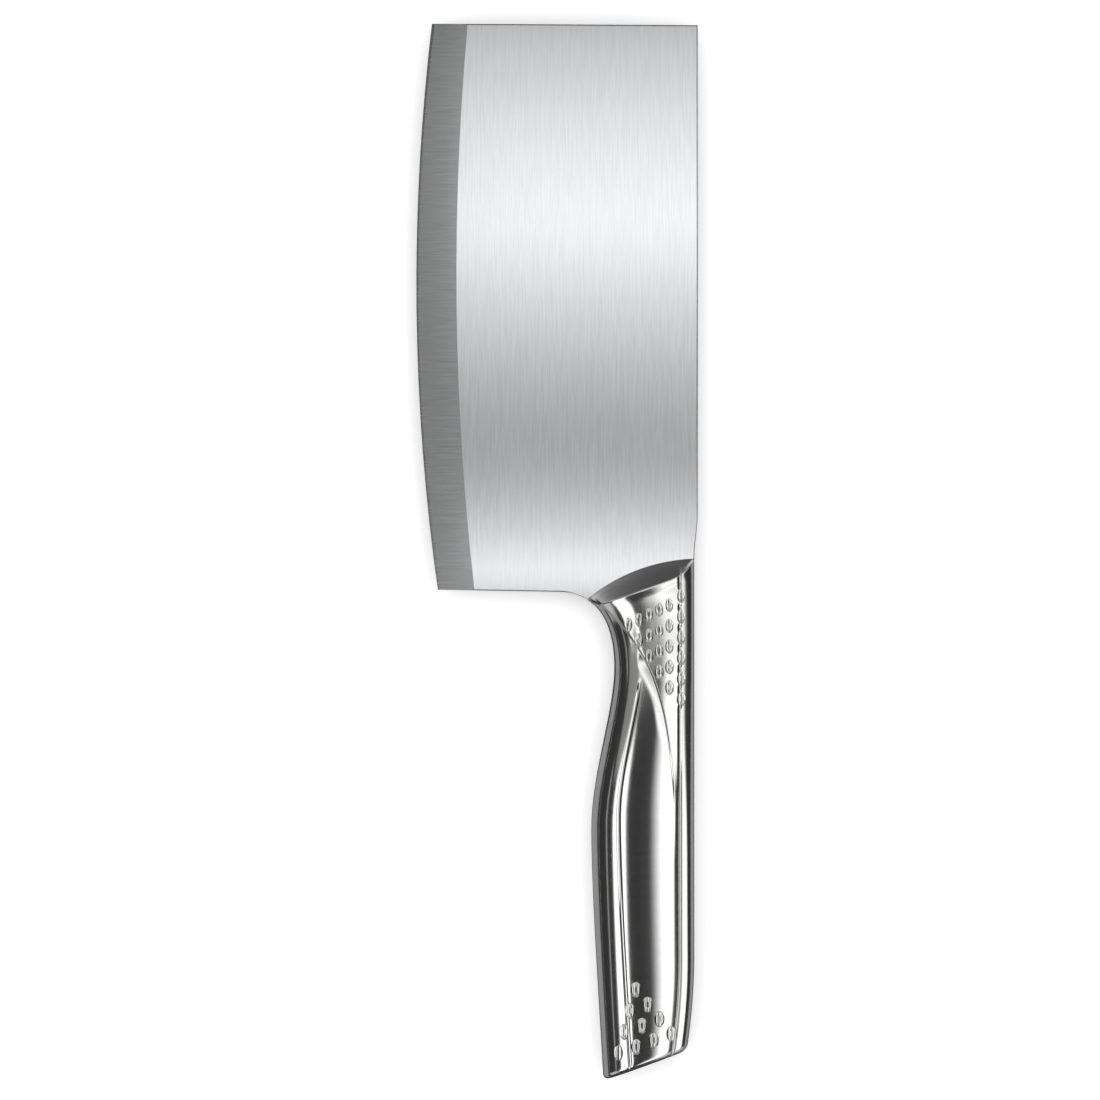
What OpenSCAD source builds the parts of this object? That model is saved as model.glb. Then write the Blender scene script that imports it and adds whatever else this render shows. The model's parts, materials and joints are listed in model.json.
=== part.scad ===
// Chinese cleaver with an all-steel hollow handle, lying on its side.
// The blade is one ground plate with a tang. A solid bolster is welded across its end, two pressed
// half shells are seam-welded behind the bolster, and packed sand inside them balances the blade.
//
// Drawing frame: x = 0 is the spine line and x runs negative towards the cutting edge, y = 0 is
// the heel line and y runs positive towards the toe, z = 0 is the middle of the plate.

/* [Blade] */
// Heel line to the toe corner at the edge
blade_len = 165; // [140:1:200]
// Spine to the furthest point of the curved edge
blade_h = 82; // [74:1:95]
// Plate thickness
blade_t = 2; // [1.6:0.1:3]
// How far the toe end drops back at the spine
toe_drop = 0.5; // [0:0.1:1.5]
// Radius of the curved cutting edge, seen from the side
edge_r = 638; // [500:10:900]
// Where the edge bulges furthest, ahead of the heel line
edge_apex = 89; // [80:1:95]
// Width of the ground bevel at the apex
bevel_w = 11.7; // [9:0.1:14]
// Radius of the line where the bevel meets the flat
shoulder_r = 810; // [700:10:950]
// How far that line's apex lies ahead of the edge's
shoulder_shift = 3; // [0:0.5:6]
// Half angle of the fine cutting bevel, in degrees
micro_angle = 20; // [15:1:25]
// Thickness left behind the fine cutting bevel, at the apex
edge_land = 0.3; // [0.2:0.05:0.5]
// How far the heel end slopes back before the neck curve
heel_drop = 0.6; // [0.2:0.1:1]
// Width of the tang
tang_w = 11; // [8:0.5:13]
// Length of the tang behind the heel line
tang_len = 46; // [36:1:60]
// Radius of the tang's corners
tang_corner_r = 3; // [1:0.5:4]
// How far each side of the tang is ground back from the flat of the blade
tang_step = 0.1; // [0.05:0.05:0.3]

/* [Bolster] */
// Radius of the arc where the bolster meets the flat of the blade
bolster_r = 51.8; // [50:0.1:54]
// How far that arc's centre lies beyond the spine line
bolster_x = 0.7; // [0:0.1:1.5]
// How far that arc's crown lies ahead of the heel line
bolster_lead = 9.1; // [8:0.1:9.7]
// How far behind that arc the ridge of the hollow face leaves the belly
ridge_back = 2.1; // [1.6:0.1:3]
// How far behind that arc the ridge reaches the spine
ridge_gap = 0.4; // [0.3:0.1:1]
// Hollow of the face below a straight slope
face_hollow = 0.7; // [0.2:0.1:1]
// Width of the bolster's rim between the ridge and the shells
rim_w = 1.3; // [1:0.1:2.5]
// How far the spigot reaches into the shells
spigot_len = 9; // [6:0.5:12]
// Clearance round the spigot and round the tang
fit = 0.05; // [0.02:0.01:0.15]

/* [Handle] */
// Heel line to the lowest point of the butt
handle_len = 142.4; // [130:1:155]
// Width at the neck
neck_w = 23.3; // [21:0.1:26]
// Neck behind the heel line
neck_y = 22.7; // [20:0.1:26]
// Width at the palm swell
swell_w = 30; // [27:0.1:33]
// Palm swell behind the heel line
swell_y = 69.4; // [60:0.1:78]
// Width at the butt
butt_w = 24.3; // [22:0.1:28]
// Half the thickness at the neck
neck_half_t = 8; // [7:0.1:9]
// Where the handle starts to thicken towards the palm, behind the heel line
thicken_from = 10; // [6:1:20]
// Half the thickness at the palm swell
swell_half_t = 9.8; // [8.5:0.1:11]
// Half the thickness at the butt
butt_half_t = 8.6; // [7.5:0.1:10]
// Lean of the butt and of the lines across the handle, in degrees
slant = 20; // [16:0.5:22]
// How far the spine steps in where the handle starts
spine_inset = 1; // [0.5:0.1:1.5]
// Start of the neck curve on the heel end, in from the spine line
fillet_x = 40.1; // [38:0.1:43]
// How far the spine tucks in at the butt
butt_tuck = 2.2; // [0.5:0.1:3]
// Rounding of the butt
butt_r = 1.8; // [1:0.1:2.5]
// Wall of the pressed shells
wall = 1.2; // [1.1:0.05:1.5]
// Squareness of the cross-section: 2 is an ellipse
section_power = 2.4; // [2.2:0.1:2.8]
// Squareness of its corner along the spine
corner_power = 14; // [10:1:18]

/* [Relief] */
// Groove in from the spine
groove_inset = 4.3; // [3.5:0.1:5]
// Depth of that groove
groove_depth = 0.45; // [0.2:0.05:0.5]
// Width of the groove and of the crease
groove_w = 1.5; // [1:0.1:2]
// Crease beside the palm panel, in from the belly
crease_inset = 7.9; // [7:0.1:9]
// Where the crease starts behind the heel line
crease_start = 28; // [26:1:36]
// Depth of the crease
crease_depth = 0.3; // [0.1:0.05:0.4]
// How far the thumb panel stands above the palm panel
panel_rise = 0.4; // [0.2:0.05:0.6]
// Width of the rounded step at the thumb panel's edge
step_w = 0.6; // [0.4:0.1:1]
// How far that sweeping edge is from the groove at the neck
sweep_far = 10.2; // [9:0.1:12]
// Length over which that distance halves
sweep_half = 15.7; // [13:0.1:18]
// Where the step has faded away, behind the heel line
sweep_end = 90; // [80:1:100]

/* [Grip dimples] */
// Width of one dimple
dimple_w = 2.6; // [2.2:0.1:2.8]
// Length of one dimple
dimple_l = 4.1; // [3.4:0.1:4.6]
// Depth of one dimple
dimple_d = 0.4; // [0.2:0.05:0.45]
// Width of the ridge left standing along a dimple
ridge_w = 0.2; // [0.1:0.05:0.5]
// Columns in the thumb group; the one nearest the belly holds one dimple
thumb_columns = 6; // [3:1:6]
// Spacing across the thumb group
thumb_pitch_x = 2.97; // [2.9:0.01:3.2]
// Spacing along the thumb group
thumb_pitch_y = 6; // [5.2:0.1:6.5]
// How far each column starts behind the one nearer the spine
thumb_stagger = 1.46; // [1:0.02:2]
// First dimple of the thumb group behind the heel line
thumb_y = 1.8; // [1.5:0.1:4]
// How far its first column lies from the groove's line towards the spine
thumb_shift = 0.4; // [0:0.1:0.6]
// Extra spacing between the first column and the second
thumb_apart = 0.45; // [0.2:0.05:0.6]
// Extra distance at which the second column starts behind the first
thumb_behind = 1.1; // [0:0.1:1.5]
// Rows in the butt group; the one nearest the toe holds one dimple
butt_rows = 4; // [2:1:4]
// First dimple of the butt group, in from the spine line
butt_group_x = 18.1; // [17:0.1:19]
// First dimple of the butt group, ahead of the lowest point of the butt
butt_group_y = 26.2; // [25:0.1:32]
// How far each row starts nearer the belly than the one before
butt_stagger = 1.66; // [1.4:0.02:1.8]
// Spacing across the butt group
butt_pitch_x = 5.1; // [4.8:0.1:5.2]
// Spacing along the butt group
butt_pitch_y = 6.15; // [5.5:0.05:6.2]

/* [Sand] */
// Where the sand ends, behind the heel line
sand_end = 108; // [70:1:122]

/* [Hidden] */

steel_c = [0.78, 0.79, 0.80];
handle_c = [0.70, 0.71, 0.72];
sand_c = [0.76, 0.69, 0.55];

// Facets on the blade's and the bolster's true arcs
edge_fn = 240;
round_fn = 180;
// How far a cutting tool passes a face, and the reach of a clearing tool
over = 1;
reach = 60;

// Where the spine starts and ends its step down to the handle, ahead of the heel line
step_from = 22;
step_to = 9;
// Length over which the spine tucks in at the butt
tuck_len = 27;
// Length over which the crease and the thumb panel's step fade
fade_len = 8;
sweep_fade = 50;
// How far the belly's curves hold their direction: along the heel end with a slight fall, before
// and after the neck and the palm swell, and before the butt with a slight swing outwards
heel_hold = 9.9;
heel_fall = 0.3;
neck_hold = [14.5, 12.3];
swell_hold = [15.5, 18];
butt_hold = 23;
butt_swing = 1.3;

// Cubic curve through four control points
function bez(p, t) = pow(1 - t, 3) * p[0] + 3 * t * pow(1 - t, 2) * p[1]
    + 3 * t * t * (1 - t) * p[2] + pow(t, 3) * p[3];
function limit(t) = min(1, max(0, t));
function ease(t) = let (c = limit(t)) c * c * (3 - 2 * c);
function signed_pow(v, q) = sign(v) * pow(abs(v), q);

// x of the spine at a distance s behind the heel line
tuck_from = handle_len - butt_w * tan(slant) - tuck_len;
function spine_x(s) = -spine_inset * ease((step_from + s) / (step_from - step_to))
    - butt_tuck * pow(max(0, s - tuck_from) / tuck_len, 2);

// The belly line: neck curve, run to the palm swell, run to the butt
neck_x = -spine_inset - neck_w;
swell_x = -spine_inset - swell_w;
butt_x = -spine_inset - butt_tuck - butt_w;
fillet = [[-fillet_x, -heel_drop], [-fillet_x + heel_hold, -heel_drop - heel_fall],
          [neck_x, -neck_y + neck_hold[0]], [neck_x, -neck_y]];
waist = [[neck_x, -neck_y], [neck_x, -neck_y - neck_hold[1]],
         [swell_x, -swell_y + swell_hold[0]], [swell_x, -swell_y]];
run = [[swell_x, -swell_y], [swell_x, -swell_y - swell_hold[1]],
       [butt_x - butt_swing, -handle_len + butt_hold], [butt_x, -handle_len]];
curve_steps = 24;
belly_line = concat([for (p = [fillet, waist, run], i = [0 : curve_steps - 1])
                     bez(p, i / curve_steps)], [run[3], run[3] - [0, butt_r]]);
belly_table = [for (p = belly_line) [-p.y, p.x]];
function belly_x(s) = lookup(s, belly_table);

// Every section lies on a line that crosses the handle at the slant. It is named by s, the
// distance behind the heel line at which it leaves the belly; d is the distance from the belly
// in x.
function line_end(s) = spine_x(s - tan(slant) * (-spine_inset - belly_x(s)));
function width(s) = line_end(s) - belly_x(s);
function plan(s, d) = [belly_x(s) + d, -s + tan(slant) * d];
// The line through a point of the plan, found by closing in on it
function line_at(x, y, s = neck_y, n = 10) = n == 0 ? s
    : line_at(x, y, -y + tan(slant) * (x - belly_x(s)), n - 1);
// Half the thickness on a line
function half_t(s) = neck_half_t
    + (swell_half_t - neck_half_t) * ease((s - thicken_from) / (swell_y - thicken_from))
    + (butt_half_t - swell_half_t) * ease((s - swell_y) / (handle_len - swell_y));

// Height of the bare section, d out of w across, h at its crown. The belly side is rounded. The
// spine side falls to the groove, goes on more gently behind it and turns down at the corner.
crown_fall = 0.36;
crown_power = 2.2;
strip_fall = 0.3;
function arch(d, w, h) = let (u = 2 * d / w - 1, g = 1 - 2 * groove_inset / w)
    u < 0 ? h * pow(max(0, 1 - pow(-u, section_power)), 1 / section_power)
          : h * (1 - crown_fall * pow(min(u, g), crown_power) - strip_fall * max(0, u - g))
              * pow(max(0, 1 - pow(u, corner_power)), 1 / section_power);
// Distances from the belly of the thumb panel's edge and of the crease
sweep_least = 2;
sweep_gap = 1.3;
crease_gap = 2.4;
function sweep_d(s) = max(sweep_least, width(s) - groove_inset
    - max(sweep_gap, sweep_far * pow(2, (neck_y - s) / sweep_half)));
function crease_d(s) = min(crease_inset, max(sweep_d(s) / 2, sweep_d(s) - crease_gap));
// How far the thumb panel stands proud at d, and the height of the outside there
function rise(s, d) = panel_rise * ease((sweep_end - s) / sweep_fade)
    * limit(1 + (d - sweep_d(s)) / step_w) * limit((width(s) - groove_inset - d) / groove_w + 1);
function outer_z(s, d) = arch(d, width(s), half_t(s)) + rise(s, d);

// Points across a section, with one on each side of the step and of the groove
edge_shares = [0, 0.012, 0.05, 0.12, 0.25, 0.45, 0.7];
inner_shares = [0.15, 0.33, 0.5, 0.67, 0.85];
spine_shares = [0, 0.4, 0.7, 0.88, 0.97, 1];
function columns(s) = let (c = crease_d(s), a = sweep_d(s), g = width(s) - groove_inset)
    concat([for (k = edge_shares) k * c], [for (k = [0, 0.2, 0.4, 0.6, 0.8]) c + k * (a - step_w - c)],
           [a - step_w, a], [for (k = inner_shares) a + k * (g - a)], [g],
           [for (k = spine_shares) g + groove_w + k * (groove_inset - groove_w)]);

// Lines across the handle, closer together round the neck curve and the butt
last_line = handle_len + butt_r * (1 + tan(slant) - 1 / cos(slant));
front_lines = [for (t = [0 : 0.1 : 1.01]) -bez(fillet, t).y];
waist_lines = [for (t = [0.125 : 0.125 : 1]) -bez(waist, t).y];
run_lines = [for (i = [1 : 10]) swell_y + (last_line - butt_r - swell_y) * i / 10];
butt_angles = [25, 50, 70, 90];

// One row of the outside, drawn in from its edge by inset for the rounded butt
function outer_row(s, inset = 0) = let (w = width(s), k = 1 - inset / half_t(s))
    [for (d = columns(s)) let (p = plan(s, inset + d * (1 - 2 * inset / w)))
        [p.x, p.y, outer_z(s, d) * k]];

// A closed solid through rows of points, each row a closed loop. Its ends are flat, or upright
// strips between the two sides where the row bends in plan.
module loft(rows, strips = false) {
    n = len(rows);
    m = len(rows[0]);
    sides = [for (i = [0 : n - 2], j = [0 : m - 1]) let (a = i * m + j, b = i * m + (j + 1) % m)
        each [[a, b, a + m], [b, b + m, a + m]]];
    back = strips
        ? concat([[0, 1, m - 1]], [for (j = [1 : m / 2 - 2]) [j, j + 1, m - j - 1, m - j]],
                 [[m / 2 - 1, m / 2, m / 2 + 1]])
        : [[for (j = [0 : m - 1]) j]];
    front = [for (f = back) [for (i = [len(f) - 1 : -1 : 0]) f[i]]];
    polyhedron([for (r = rows) each r],
               concat(sides, front, [for (f = back) [for (i = f) (n - 1) * m + i]]), convexity = 6);
}
// A row of one side, closed by its mirror image
function whole(row) = concat(row, [for (j = [len(row) - 2 : -1 : 1]) [row[j].x, row[j].y, -row[j].z]]);

module handle_half() loft(concat(
    [for (s = concat(front_lines, waist_lines, run_lines)) outer_row(s)],
    [for (a = butt_angles) outer_row(last_line - butt_r * (1 - sin(a)), butt_r * (1 - cos(a)))]));

function steps_between(a, b, n) = [for (i = [0 : n]) a + (b - a) * i / n];
// A round-bottomed groove: a ball rolled along stops of [s, d, share of the depth]
ball_fn = 8;
module rolled_groove(stops, depth) {
    r = (groove_w * groove_w / 4 + depth * depth) / (2 * depth);
    for (i = [0 : len(stops) - 2]) hull() for (p = [stops[i], stops[i + 1]]) {
        at = plan(p[0], p[1]);
        translate([at.x, at.y, outer_z(p[0], p[1]) + r - depth * p[2]])
            sphere(r / cos(180 / ball_fn), $fn = ball_fn);
    }
}
module grooves() {
    rolled_groove([for (s = steps_between(heel_drop, last_line, 15))
        [s, width(s) - groove_inset, 1]], groove_depth);
    rolled_groove([for (s = steps_between(crease_start, last_line, 14))
        [s, crease_d(s), ease((s - crease_start) / fade_len)]], crease_depth);
}

// The hollow inside the shells
ring_step = 15;
function ring(s, inset) = let (w = width(s), h = half_t(s) - inset, q = 2 / section_power)
    [for (a = [0 : ring_step : 359])
        let (p = plan(s, w / 2 - (w / 2 - inset) * signed_pow(cos(a), q)))
        [p.x, p.y, h * signed_pow(sin(a), q)]];
module hollow(lines, inset) loft([for (s = lines) ring(s, inset)]);

// Where the arc on the flat of the blade meets the belly, found by halving
bolster_y = bolster_r - bolster_lead;
function in_arc(p) = norm([p.x - bolster_x, p.y + bolster_y]) < bolster_r;
function belly_meets(a, b, n = 24) = let (m = (a + b) / 2)
    n == 0 ? m : in_arc(plan(m, 0)) ? belly_meets(a, m, n - 1) : belly_meets(m, b, n - 1);
belly_end = belly_meets(heel_drop, neck_y);

// The ridge crosses the handle on one line and turns forward near the spine. A place on it is
// named by its share u of the way from the belly to the spine.
turn_from = 0.7;
turn_steps = 10;
ridge_start = belly_end + ridge_back;
function spine_meets(a, b, n = 24) = let (m = (a + b) / 2)
    n == 0 ? m : plan(m, width(m)).y > bolster_lead - ridge_gap
        ? spine_meets(m, b, n - 1) : spine_meets(a, m, n - 1);
ridge_turn = ridge_start - spine_meets(heel_drop, ridge_start);
function ridge_line(u) = ridge_start
    - ridge_turn * pow(max(0, u - turn_from) / (1 - turn_from), 3);
ridge_shares = [0, 0.005, 0.02, 0.045, 0.07, 0.11, 0.17, 0.25, 0.34, 0.44, 0.54, 0.64, 0.72,
                0.78, 0.84, 0.9, 0.94, 0.97, 0.99, 1];
last_column = len(ridge_shares) - 1;
// A row of points behind the ridge by a distance
function ridge_row(back = 0) = [for (j = [0 : last_column])
    let (s = ridge_line(ridge_shares[j]) + back / cos(slant),
         d = ridge_shares[j] * width(s), p = plan(s, d))
        [p.x, p.y, outer_z(s, d)]];

function arc_angle(p) = atan2(p.y + bolster_y, p.x - bolster_x);
arc_from = arc_angle(plan(belly_end, 0));
arc_to = arc_angle([-spine_inset, bolster_lead]);

// The hollow face climbs from that arc to the ridge. Each row is a share k of the way, and the
// first is set off from the arc for a clean cut along it.
arc_clear = 0.1;
face_steps = 6;
ridge = ridge_row();
function face_row(k) = [for (j = [0 : last_column])
    let (a = arc_from + (arc_to - arc_from) * ridge_shares[j],
         r = bolster_r + (k == 0 ? arc_clear : 0), half = blade_t / 2, top = ridge[j],
         p = [bolster_x + r * cos(a), r * sin(a) - bolster_y] * (1 - k) + [top.x, top.y] * k,
         hollow_k = max(0, top.z - half) / (neck_half_t - half))
    [p.x, p.y, j == 0 || j == last_column ? 0
        : half + (top.z - half) * k - face_hollow * hollow_k * 4 * k * (1 - k)]];
module front_form() loft(concat([for (i = [0 : face_steps - 1]) whole(face_row(i / face_steps))],
                                [whole(ridge), whole(ridge_row(rim_w + over))]), strips = true);

// Everything behind the ridge, moved back by a distance
tall = swell_half_t + panel_rise + over;
module behind_ridge(back) {
    line = [for (u = concat([0], steps_between(turn_from, 1, turn_steps)))
        let (s = ridge_line(u) + back / cos(slant)) plan(s, u * width(s))];
    translate([0, 0, -tall]) linear_extrude(2 * tall)
        polygon(concat([line[0] - reach * [1, tan(slant)]], line,
                       [[reach, line[turn_steps + 1].y], [reach, -3 * reach], [-2 * reach, -3 * reach]]));
}

// Where the spigot, the sand and the hollow end
spigot_line = ridge_start + (rim_w + spigot_len) / cos(slant);
hollow_line = last_line - wall / cos(slant);
spigot_lines = steps_between(heel_drop, spigot_line, 8);
sand_lines = steps_between(spigot_line, sand_end, 9);
hollow_lines = concat(spigot_lines, [for (i = [1 : 9]) sand_lines[i]], [hollow_line]);

module both_sides() {
    children();
    mirror([0, 0, 1]) children();
}

// The plate's outline, with the start of the neck curve and the spine's step down
heel_x = -blade_h + edge_r - sqrt(edge_r * edge_r - edge_apex * edge_apex);
heel_slope = heel_drop / (-fillet_x - heel_x);
edge_side = -blade_h - over;
module plate_outline()
    polygon(concat([[edge_side, blade_len], [edge_side, heel_slope * (heel_x - edge_side)]],
                   [for (t = [0 : 0.06 : 0.78]) bez(fillet, t)], [[-spine_inset, -step_to]],
                   [for (y = steps_between(step_to, step_from, 8)) [spine_x(-y), y]],
                   [[0, blade_len - toe_drop]]));

// What the two ground bevels and the two fine bevels leave: a pair of cones base to base
module cone_pair(x, y, r, slope) {
    top = blade_t / 2 + over;
    both_sides() translate([x, y, 0]) cylinder(h = top, r1 = r, r2 = r - slope * top, $fn = edge_fn);
}
bevel_slope = bevel_w / (blade_t / 2 - edge_land / 2);
module bevels() cone_pair(shoulder_r - blade_h + bevel_w, edge_apex + shoulder_shift,
                          shoulder_r + bevel_slope * blade_t / 2, bevel_slope);
module fine_bevels() cone_pair(edge_r - blade_h, edge_apex, edge_r, 1 / tan(micro_angle));

// The tang, or with a clearance the slot for it
tang_x = -spine_inset - neck_w / 2;
module tang(clear = 0) {
    w = tang_w + 2 * clear;
    t = blade_t - 2 * tang_step + 2 * clear;
    r = tang_corner_r + clear;
    tip = -tang_len - clear;
    translate([tang_x, 0, -t / 2]) linear_extrude(t) {
        translate([-w / 2, tip + r]) square([w, tang_len + bolster_lead]);
        translate([r - w / 2, tip]) square([w - 2 * r, 2 * r]);
        for (x = [r - w / 2, w / 2 - r]) translate([x, tip + r]) circle(r, $fn = 48);
    }
}
module bolster_disc() translate([bolster_x, -bolster_y, -tall])
    cylinder(h = 2 * tall, r = bolster_r, $fn = round_fn);

module blade() color(steel_c) union() {
    intersection() {
        difference() {
            translate([0, 0, -blade_t / 2]) linear_extrude(blade_t) plate_outline();
            bolster_disc();
        }
        bevels();
        fine_bevels();
    }
    intersection() {
        tang();
        bolster_disc();
    }
}

module bolster() color(handle_c) difference() {
    union() {
        difference() {
            intersection() {
                front_form();
                bolster_disc();
            }
            behind_ridge(rim_w);
            both_sides() grooves();
        }
        intersection() {
            hollow(spigot_lines, wall + fit);
            behind_ridge(rim_w / 2);
        }
    }
    tang(fit);
}

// A bean-shaped dimple: two half-moon hollows, with a thin ridge left standing between them.
// Each falls from its rim to a narrow floor, whose size and place are shares of the dimple's.
floor_share = [0.1, 0.36];
floor_place = 0.28;
floor_t = 0.01;
module dimple_tool() for (side = [0, 1]) mirror([side, 0, 0]) hull() {
    linear_extrude(2 * dimple_d) polygon([for (a = [-90 : 30 : 90])
        [ridge_w / 2 + (dimple_w - ridge_w) / 2 * cos(a), dimple_l / 2 * sin(a)]]);
    translate([floor_place * dimple_w, 0, -dimple_d])
        cube([floor_share[0] * dimple_w, floor_share[1] * dimple_l, floor_t], center = true);
}
// The tool laid on the outside at a point of the plan, leaning with the surface under it
module dimple_at(x, y, sunk = 0) {
    s = line_at(x, y);
    d = x - belly_x(s);
    half = dimple_w / 4;
    lean = atan((outer_z(s, d + half) - outer_z(s, d - half)) / (2 * half));
    translate([x, y, outer_z(s, d) - sunk]) rotate([0, -lean, 0]) dimple_tool();
}
module thumb_dimples() for (c = [0 : thumb_columns - 1], r = [0 : thumb_columns - 1 - c])
    dimple_at(-spine_inset - groove_inset + thumb_shift - c * thumb_pitch_x - min(1, c) * thumb_apart,
              -thumb_y - c * thumb_stagger - r * thumb_pitch_y - min(1, c) * thumb_behind,
              c == 0 ? groove_depth / 2 : 0);
module butt_dimples() for (r = [0 : butt_rows - 1], c = [0 : r])
    dimple_at(-butt_group_x - r * butt_stagger + c * butt_pitch_x,
              -handle_len + butt_group_y - r * butt_pitch_y + c * butt_pitch_x * tan(slant));

module half_shell() color(handle_c) difference() {
    intersection() {
        handle_half();
        behind_ridge(rim_w);
    }
    hollow(hollow_lines, wall);
    grooves();
    thumb_dimples();
    butt_dimples();
}
module left_shell() half_shell();
module right_shell() mirror([0, 0, 1]) half_shell();

module sand_fill() color(sand_c) difference() {
    hollow(sand_lines, wall);
    tang();
}

// The part's own frame: middle of the box in plan, lowest point of the handle at z = 0
rest_h = max(neck_half_t + panel_rise, swell_half_t, butt_half_t);
module placed() translate([blade_h / 2, (handle_len - blade_len) / 2, rest_h]) children();

placed() blade();
placed() bolster();
placed() left_shell();
placed() right_shell();
placed() sand_fill();
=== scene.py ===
# %% [markdown]
# This lesson dresses an all-steel Chinese cleaver. The imported model already holds its five
# pieces at their real size: the ground plate, the bolster, two pressed half shells and the
# sand inside them. It is loaded first and never moved, so every finished piece made here is
# laid over the one that it stands for. The finished knife has to fill the same box.

# %% Load the imported knife
import json
import math

import bmesh
import bpy
import numpy as np
from mathutils import Matrix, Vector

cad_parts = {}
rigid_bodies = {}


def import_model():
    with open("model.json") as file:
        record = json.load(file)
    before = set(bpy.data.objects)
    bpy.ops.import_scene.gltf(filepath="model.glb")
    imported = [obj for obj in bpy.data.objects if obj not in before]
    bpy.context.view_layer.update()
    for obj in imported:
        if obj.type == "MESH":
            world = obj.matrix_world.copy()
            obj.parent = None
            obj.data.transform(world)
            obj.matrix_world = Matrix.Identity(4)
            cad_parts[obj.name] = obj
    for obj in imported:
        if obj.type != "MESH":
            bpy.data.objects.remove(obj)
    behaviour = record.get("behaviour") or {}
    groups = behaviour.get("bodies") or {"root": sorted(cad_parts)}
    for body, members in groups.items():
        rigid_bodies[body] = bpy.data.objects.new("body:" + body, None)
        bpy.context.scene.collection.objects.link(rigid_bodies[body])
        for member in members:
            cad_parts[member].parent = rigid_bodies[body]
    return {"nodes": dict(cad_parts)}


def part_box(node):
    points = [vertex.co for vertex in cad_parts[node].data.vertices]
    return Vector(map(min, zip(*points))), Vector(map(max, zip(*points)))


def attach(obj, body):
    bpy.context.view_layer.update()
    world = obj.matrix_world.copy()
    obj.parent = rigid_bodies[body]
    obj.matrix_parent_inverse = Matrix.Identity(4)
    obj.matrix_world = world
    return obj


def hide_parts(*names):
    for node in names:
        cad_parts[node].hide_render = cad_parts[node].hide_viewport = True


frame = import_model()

for leftover in [o for o in bpy.data.objects if o.name in ("Cube", "Light", "Camera")]:
    bpy.data.objects.remove(leftover)
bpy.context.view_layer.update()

# %% [markdown]
# A maker draws a knife from its spine and its heel. The drawing's origin is where the spine
# line and the heel line cross, half way through the plate, with x running back from the
# cutting edge and y running forward to the toe. The sizes below are in millimetres on that
# drawing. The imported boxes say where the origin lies, so nothing has to be fitted by eye.

# %% Sizes on the drawing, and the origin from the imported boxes
MM = 0.001
HANDLE_LEN = 142.4
HEEL_DROP = 0.6
FILLET_X = 40.1
NECK_W, NECK_Y, NECK_HALF_T = 23.3, 22.7, 8.0
SWELL_W, SWELL_Y, SWELL_HALF_T = 30.0, 69.4, 9.8
BUTT_W, BUTT_HALF_T, BUTT_R = 24.3, 8.6, 1.8
THICKEN_FROM = 10.0
SPINE_INSET = 1.0
BUTT_TUCK, TUCK_LEN = 2.2, 27.0
STEP_FROM, STEP_TO = 22.0, 9.0
SLANT = math.tan(math.radians(20))
WALL = 1.2
GROOVE_INSET, GROOVE_DEPTH, GROOVE_W = 4.3, 0.45, 1.5
SECTION_POWER, CORNER_POWER = 2.4, 20
CROWN_FALL, CROWN_POWER, STRIP_FALL = 0.38, 2.5, 0.22

blade_low, blade_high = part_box("blade")
shell_low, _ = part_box("left_shell")
HALF_PLATE = (blade_high.z - blade_low.z) / 2 / MM
ORIGIN = np.array([
    blade_high.x / MM,
    shell_low.y / MM + HANDLE_LEN,
    (blade_high.z + blade_low.z) / 2 / MM,
])
print("drawing origin in the part's frame, mm:", ORIGIN.round(3), "half plate", round(HALF_PLATE, 3))

# %% [markdown]
# The handle is one sculpted form. Its belly is three curves: round the neck, out to the palm
# swell, and in to the butt. Its spine is nearly straight. Lines cross it at a slant, like the
# butt, and every section stands on one of these lines, named by s, the distance behind the
# heel at which it leaves the belly. On a line, d is the distance in from the belly. With the
# width and the thickness written as functions of s, the surface is a formula, and a mesh can
# be as fine as the picture needs.

# %% The plan of the handle
NECK_X = -SPINE_INSET - NECK_W
SWELL_X = -SPINE_INSET - SWELL_W
BUTT_X = -SPINE_INSET - BUTT_TUCK - BUTT_W
HEEL_PULL, NECK_PULL = (9.9, -0.3), (14.5, 12.3)
SWELL_PULL, BUTT_PULL = (15.5, 18), (-1.3, 23)
BELLY_CURVES = [
    [(-FILLET_X, -HEEL_DROP), (-FILLET_X + HEEL_PULL[0], -HEEL_DROP + HEEL_PULL[1]),
     (NECK_X, -NECK_Y + NECK_PULL[0]), (NECK_X, -NECK_Y)],
    [(NECK_X, -NECK_Y), (NECK_X, -NECK_Y - NECK_PULL[1]),
     (SWELL_X, -SWELL_Y + SWELL_PULL[0]), (SWELL_X, -SWELL_Y)],
    [(SWELL_X, -SWELL_Y), (SWELL_X, -SWELL_Y - SWELL_PULL[1]),
     (BUTT_X + BUTT_PULL[0], -HANDLE_LEN + BUTT_PULL[1]), (BUTT_X, -HANDLE_LEN)],
]
CURVE_STEPS = 600


def cubic(points, t):
    """A point of the cubic curve through four control points, for each t."""
    p = np.array(points, float)
    t = np.asarray(t, float)[..., None]
    return ((1 - t) ** 3 * p[0] + 3 * t * (1 - t) ** 2 * p[1]
            + 3 * t * t * (1 - t) * p[2] + t ** 3 * p[3])


def ease(t):
    """From 0 to 1 with a soft start and end."""
    c = np.clip(t, 0, 1)
    return c * c * (3 - 2 * c)


def ease_over(place, start, end):
    """Eased from 0 at the start to 1 at the end."""
    return ease((place - start) / (end - start))


steps = np.linspace(0, 1, CURVE_STEPS)
belly = np.concatenate([cubic(c, steps) for c in BELLY_CURVES] + [[(BUTT_X, -HANDLE_LEN - BUTT_R)]])


def belly_x(s):
    return np.interp(s, -belly[:, 1], belly[:, 0])


TUCK_FROM = HANDLE_LEN - BUTT_W * SLANT - TUCK_LEN


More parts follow.
